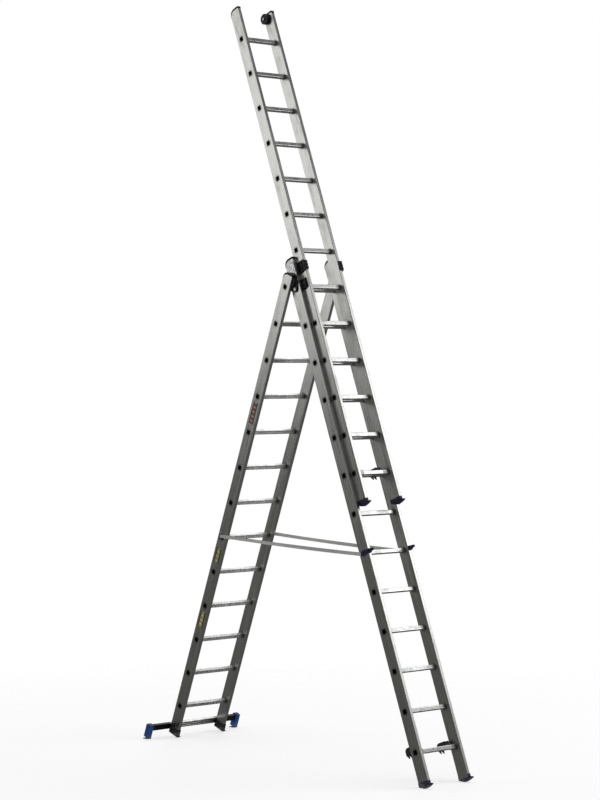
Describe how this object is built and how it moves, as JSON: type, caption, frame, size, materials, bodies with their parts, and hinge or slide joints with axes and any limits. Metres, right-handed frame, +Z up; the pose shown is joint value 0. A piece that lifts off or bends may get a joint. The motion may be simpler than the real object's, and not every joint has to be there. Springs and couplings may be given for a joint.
{
  "type": "extension ladder",
  "caption": "Aluminium extension ladder in three sections, set up as a trestle with the upper section run out, with a stabiliser bar, wall rollers and spreader straps.",
  "frame": {"origin": "on the floor, at the middle of the footprint", "axes": "+Z up; X along the rungs; the front section, which carries the sliding upper section, stands towards -Y, and the rear section with the stabiliser towards +Y"},
  "size_m": [0.872, 2.9076, 5.4412],
  "materials": {
    "stile_aluminium": "drawn, with fine lengthwise lines",
    "rung_aluminium": "drawn, ribbed",
    "plate_aluminium": "satin",
    "navy_plastic": "moulded",
    "black_plastic": "moulded",
    "black_rubber": "matt",
    "blue_plastic": "moulded",
    "black_steel": "powder coated",
    "zinc_steel": "zinc plated",
    "webbing": "woven",
    "sticker_film": "printed film",
    "roller_plastic": "moulded"
  },
  "bodies": {
    "front_section": {"front_stile_left": "stile_aluminium", "front_stile_right": "stile_aluminium", "front_rungs": "rung_aluminium", "front_foot_left": "navy_plastic", "front_foot_right": "navy_plastic", "front_cap_left": "black_plastic", "front_cap_right": "black_plastic", "guide_plate_left": "plate_aluminium", "guide_plate_right": "plate_aluminium", "guide_shoe_left": "black_plastic", "guide_shoe_right": "black_plastic", "guide_block_left": "black_plastic", "guide_block_right": "black_plastic", "guide_rivets": "zinc_steel", "hinge_bush_left": "black_plastic", "hinge_bush_right": "black_plastic", "front_hook_saddles": "zinc_steel", "front_hook_pins": "zinc_steel", "strap_left": "webbing", "strap_right": "webbing", "strap_clip_left": "navy_plastic", "strap_clip_right": "navy_plastic"},
    "rear_section": {"rear_stile_left": "stile_aluminium", "rear_stile_right": "stile_aluminium", "rear_rungs": "rung_aluminium", "rear_cap_left": "black_plastic", "rear_cap_right": "black_plastic", "rear_plug_left": "black_rubber", "rear_plug_right": "black_rubber", "hinge_bracket_left": "black_steel", "hinge_bracket_right": "black_steel", "hinge_pin_left": "zinc_steel", "hinge_pin_right": "zinc_steel", "hinge_rivets": "zinc_steel", "strap_anchors": "zinc_steel", "stabiliser_bar": "rung_aluminium", "stabiliser_boot_left": "blue_plastic", "stabiliser_boot_right": "blue_plastic", "stabiliser_sole_left": "black_rubber", "stabiliser_sole_right": "black_rubber", "stabiliser_bolts": "zinc_steel", "stickers": "sticker_film"},
    "upper_section": {"upper_stile_left": "stile_aluminium", "upper_stile_right": "stile_aluminium", "upper_rungs": "rung_aluminium", "upper_cap_left": "black_plastic", "upper_cap_right": "black_plastic", "upper_foot_left": "navy_plastic", "upper_foot_right": "navy_plastic", "roller_axles": "zinc_steel", "roller_spacers": "black_plastic", "upper_hook_saddles": "zinc_steel", "upper_hook_pins": "zinc_steel"},
    "front_left_hook": {"front_hook_left": "black_steel"},
    "front_right_hook": {"front_hook_right": "black_steel"},
    "upper_left_hook": {"upper_hook_left": "black_steel"},
    "upper_right_hook": {"upper_hook_right": "black_steel"},
    "left_wheel": {"roller_left": "roller_plastic"},
    "right_wheel": {"roller_right": "roller_plastic"}
  },
  "joints": [
    {"name": "fold", "type": "hinge", "parent": "front_section", "child": "rear_section", "pos_m": [0, -0.06005, 3.3537], "axis": [-1, 0, 0], "range_deg": [0, 43.2], "deforming": ["strap_left", "strap_right"]},
    {"name": "section_slide", "type": "slide", "parent": "front_section", "child": "upper_section", "axis": [0, 0.3681, 0.9298], "range_m": [-1.96, 0.56]},
    {"name": "front_left_hook_swing", "type": "hinge", "parent": "front_section", "child": "front_left_hook", "pos_m": [-0.1575, -1.26579, 0.24313], "axis": [1, 0, 0], "range_deg": [0, 60]},
    {"name": "front_right_hook_swing", "type": "hinge", "parent": "front_section", "child": "front_right_hook", "pos_m": [0.1575, -1.26579, 0.24313], "axis": [1, 0, 0], "range_deg": [0, 60]},
    {"name": "upper_left_hook_swing", "type": "hinge", "parent": "upper_section", "child": "upper_left_hook", "pos_m": [-0.1135, -0.61769, 2.08381], "axis": [1, 0, 0], "range_deg": [0, 60]},
    {"name": "upper_right_hook_swing", "type": "hinge", "parent": "upper_section", "child": "upper_right_hook", "pos_m": [0.1135, -0.61769, 2.08381], "axis": [1, 0, 0], "range_deg": [0, 60]},
    {"name": "left_wheel_spin", "type": "hinge", "parent": "upper_section", "child": "left_wheel", "pos_m": [-0.13, 0.68509, 5.37967], "axis": [1, 0, 0], "continuous": true},
    {"name": "right_wheel_spin", "type": "hinge", "parent": "upper_section", "child": "right_wheel", "pos_m": [0.13, 0.68509, 5.37967], "axis": [1, 0, 0], "continuous": true}
  ]
}
